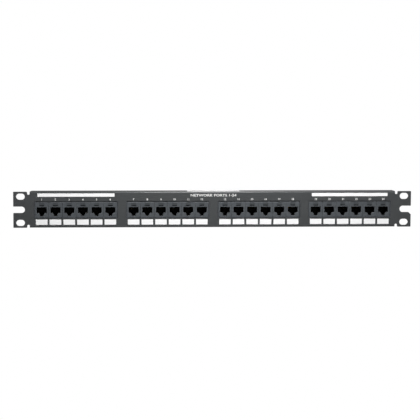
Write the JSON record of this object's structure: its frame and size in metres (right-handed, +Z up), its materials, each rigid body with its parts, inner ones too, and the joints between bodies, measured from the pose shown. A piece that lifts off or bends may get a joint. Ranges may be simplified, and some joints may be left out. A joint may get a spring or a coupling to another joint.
{
  "type": "rack patch panel",
  "caption": "One-unit 19-inch rack patch panel: folded steel front with framed rows of modular jacks, write-on labels, and punch-down wire blocks behind.",
  "frame": {"origin": "centre of the four oval rack holes, on the rear face of the ears that meets the rack", "axes": "+X to the right seen from the front, +Y to the rear, +Z up"},
  "size_m": [0.4826, 0.0312, 0.0438],
  "materials": {
    "powder_coat": "fine-textured black powder coat on 1.2 mm folded steel, satin",
    "jack_plastic": "moulded dark grey thermoplastic, slightly blue, satin",
    "carrier_plastic": "moulded black thermoplastic",
    "contact_gold": "gold-plated phosphor bronze",
    "circuit_board": "glass-epoxy board with green solder mask, tinned pads and copper tracks",
    "idc_plastic": "moulded black thermoplastic",
    "idc_fork": "tin-plated bronze, stamped",
    "standoff_steel": "zinc-plated turned steel",
    "screw_steel": "zinc-plated steel, pan head, cross recess",
    "label_white": "white write-on label film, semi-matt",
    "wiring_label": "printed colour-code label film"
  },
  "bodies": {
    "root": {"front_panel": "powder_coat", "port_labels": "label_white", "group_labels": "label_white", "flange_label": "label_white", "wiring_labels": "wiring_label", "standoffs": "standoff_steel", "module_screws": "screw_steel", "module_bezel_1": "jack_plastic", "jack_housings_1": "jack_plastic", "contact_carriers_1": "carrier_plastic", "contact_leads_1": "contact_gold", "circuit_board_1": "circuit_board", "idc_blocks_1": "idc_plastic", "idc_forks_1": "idc_fork", "module_bezel_2": "jack_plastic", "jack_housings_2": "jack_plastic", "contact_carriers_2": "carrier_plastic", "contact_leads_2": "contact_gold", "circuit_board_2": "circuit_board", "idc_blocks_2": "idc_plastic", "idc_forks_2": "idc_fork", "module_bezel_3": "jack_plastic", "jack_housings_3": "jack_plastic", "contact_carriers_3": "carrier_plastic", "contact_leads_3": "contact_gold", "circuit_board_3": "circuit_board", "idc_blocks_3": "idc_plastic", "idc_forks_3": "idc_fork", "module_bezel_4": "jack_plastic", "jack_housings_4": "jack_plastic", "contact_carriers_4": "carrier_plastic", "contact_leads_4": "contact_gold", "circuit_board_4": "circuit_board", "idc_blocks_4": "idc_plastic", "idc_forks_4": "idc_fork"},
    "spring_contacts_01": {"spring_contacts_01": "contact_gold"},
    "spring_contacts_02": {"spring_contacts_02": "contact_gold"},
    "spring_contacts_03": {"spring_contacts_03": "contact_gold"},
    "spring_contacts_04": {"spring_contacts_04": "contact_gold"},
    "spring_contacts_05": {"spring_contacts_05": "contact_gold"},
    "spring_contacts_06": {"spring_contacts_06": "contact_gold"},
    "spring_contacts_07": {"spring_contacts_07": "contact_gold"},
    "spring_contacts_08": {"spring_contacts_08": "contact_gold"},
    "spring_contacts_09": {"spring_contacts_09": "contact_gold"},
    "spring_contacts_10": {"spring_contacts_10": "contact_gold"},
    "spring_contacts_11": {"spring_contacts_11": "contact_gold"},
    "spring_contacts_12": {"spring_contacts_12": "contact_gold"},
    "spring_contacts_13": {"spring_contacts_13": "contact_gold"},
    "spring_contacts_14": {"spring_contacts_14": "contact_gold"},
    "spring_contacts_15": {"spring_contacts_15": "contact_gold"},
    "spring_contacts_16": {"spring_contacts_16": "contact_gold"},
    "spring_contacts_17": {"spring_contacts_17": "contact_gold"},
    "spring_contacts_18": {"spring_contacts_18": "contact_gold"},
    "spring_contacts_19": {"spring_contacts_19": "contact_gold"},
    "spring_contacts_20": {"spring_contacts_20": "contact_gold"},
    "spring_contacts_21": {"spring_contacts_21": "contact_gold"},
    "spring_contacts_22": {"spring_contacts_22": "contact_gold"},
    "spring_contacts_23": {"spring_contacts_23": "contact_gold"},
    "spring_contacts_24": {"spring_contacts_24": "contact_gold"}
  },
  "joints": [
    {"name": "spring_contacts_01_flex", "type": "hinge", "parent": "root", "child": "spring_contacts_01", "pos_m": [-0.20727, 0.00415, 0.00262], "axis": [1, 0, 0], "range_deg": [0, 18], "stiffness_Nm_per_rad": 0.12},
    {"name": "spring_contacts_02_flex", "type": "hinge", "parent": "root", "child": "spring_contacts_02", "pos_m": [-0.19076, 0.00415, 0.00262], "axis": [1, 0, 0], "range_deg": [0, 18], "stiffness_Nm_per_rad": 0.12},
    {"name": "spring_contacts_03_flex", "type": "hinge", "parent": "root", "child": "spring_contacts_03", "pos_m": [-0.17425, 0.00415, 0.00262], "axis": [1, 0, 0], "range_deg": [0, 18], "stiffness_Nm_per_rad": 0.12},
    {"name": "spring_contacts_04_flex", "type": "hinge", "parent": "root", "child": "spring_contacts_04", "pos_m": [-0.15773, 0.00415, 0.00262], "axis": [1, 0, 0], "range_deg": [0, 18], "stiffness_Nm_per_rad": 0.12},
    {"name": "spring_contacts_05_flex", "type": "hinge", "parent": "root", "child": "spring_contacts_05", "pos_m": [-0.14122, 0.00415, 0.00262], "axis": [1, 0, 0], "range_deg": [0, 18], "stiffness_Nm_per_rad": 0.12},
    {"name": "spring_contacts_06_flex", "type": "hinge", "parent": "root", "child": "spring_contacts_06", "pos_m": [-0.12472, 0.00415, 0.00262], "axis": [1, 0, 0], "range_deg": [0, 18], "stiffness_Nm_per_rad": 0.12},
    {"name": "spring_contacts_07_flex", "type": "hinge", "parent": "root", "child": "spring_contacts_07", "pos_m": [-0.0966, 0.00415, 0.00262], "axis": [1, 0, 0], "range_deg": [0, 18], "stiffness_Nm_per_rad": 0.12},
    {"name": "spring_contacts_08_flex", "type": "hinge", "parent": "root", "child": "spring_contacts_08", "pos_m": [-0.08009, 0.00415, 0.00262], "axis": [1, 0, 0], "range_deg": [0, 18], "stiffness_Nm_per_rad": 0.12},
    {"name": "spring_contacts_09_flex", "type": "hinge", "parent": "root", "child": "spring_contacts_09", "pos_m": [-0.06359, 0.00415, 0.00262], "axis": [1, 0, 0], "range_deg": [0, 18], "stiffness_Nm_per_rad": 0.12},
    {"name": "spring_contacts_10_flex", "type": "hinge", "parent": "root", "child": "spring_contacts_10", "pos_m": [-0.04707, 0.00415, 0.00262], "axis": [1, 0, 0], "range_deg": [0, 18], "stiffness_Nm_per_rad": 0.12},
    {"name": "spring_contacts_11_flex", "type": "hinge", "parent": "root", "child": "spring_contacts_11", "pos_m": [-0.03056, 0.00415, 0.00262], "axis": [1, 0, 0], "range_deg": [0, 18], "stiffness_Nm_per_rad": 0.12},
    {"name": "spring_contacts_12_flex", "type": "hinge", "parent": "root", "child": "spring_contacts_12", "pos_m": [-0.01405, 0.00415, 0.00262], "axis": [1, 0, 0], "range_deg": [0, 18], "stiffness_Nm_per_rad": 0.12},
    {"name": "spring_contacts_13_flex", "type": "hinge", "parent": "root", "child": "spring_contacts_13", "pos_m": [0.01405, 0.00415, 0.00262], "axis": [1, 0, 0], "range_deg": [0, 18], "stiffness_Nm_per_rad": 0.12},
    {"name": "spring_contacts_14_flex", "type": "hinge", "parent": "root", "child": "spring_contacts_14", "pos_m": [0.03056, 0.00415, 0.00262], "axis": [1, 0, 0], "range_deg": [0, 18], "stiffness_Nm_per_rad": 0.12},
    {"name": "spring_contacts_15_flex", "type": "hinge", "parent": "root", "child": "spring_contacts_15", "pos_m": [0.04707, 0.00415, 0.00262], "axis": [1, 0, 0], "range_deg": [0, 18], "stiffness_Nm_per_rad": 0.12},
    {"name": "spring_contacts_16_flex", "type": "hinge", "parent": "root", "child": "spring_contacts_16", "pos_m": [0.06359, 0.00415, 0.00262], "axis": [1, 0, 0], "range_deg": [0, 18], "stiffness_Nm_per_rad": 0.12},
    {"name": "spring_contacts_17_flex", "type": "hinge", "parent": "root", "child": "spring_contacts_17", "pos_m": [0.08009, 0.00415, 0.00262], "axis": [1, 0, 0], "range_deg": [0, 18], "stiffness_Nm_per_rad": 0.12},
    {"name": "spring_contacts_18_flex", "type": "hinge", "parent": "root", "child": "spring_contacts_18", "pos_m": [0.0966, 0.00415, 0.00262], "axis": [1, 0, 0], "range_deg": [0, 18], "stiffness_Nm_per_rad": 0.12},
    {"name": "spring_contacts_19_flex", "type": "hinge", "parent": "root", "child": "spring_contacts_19", "pos_m": [0.12472, 0.00415, 0.00262], "axis": [1, 0, 0], "range_deg": [0, 18], "stiffness_Nm_per_rad": 0.12},
    {"name": "spring_contacts_20_flex", "type": "hinge", "parent": "root", "child": "spring_contacts_20", "pos_m": [0.14122, 0.00415, 0.00262], "axis": [1, 0, 0], "range_deg": [0, 18], "stiffness_Nm_per_rad": 0.12},
    {"name": "spring_contacts_21_flex", "type": "hinge", "parent": "root", "child": "spring_contacts_21", "pos_m": [0.15773, 0.00415, 0.00262], "axis": [1, 0, 0], "range_deg": [0, 18], "stiffness_Nm_per_rad": 0.12},
    {"name": "spring_contacts_22_flex", "type": "hinge", "parent": "root", "child": "spring_contacts_22", "pos_m": [0.17425, 0.00415, 0.00262], "axis": [1, 0, 0], "range_deg": [0, 18], "stiffness_Nm_per_rad": 0.12},
    {"name": "spring_contacts_23_flex", "type": "hinge", "parent": "root", "child": "spring_contacts_23", "pos_m": [0.19076, 0.00415, 0.00262], "axis": [1, 0, 0], "range_deg": [0, 18], "stiffness_Nm_per_rad": 0.12},
    {"name": "spring_contacts_24_flex", "type": "hinge", "parent": "root", "child": "spring_contacts_24", "pos_m": [0.20727, 0.00415, 0.00262], "axis": [1, 0, 0], "range_deg": [0, 18], "stiffness_Nm_per_rad": 0.12}
  ]
}
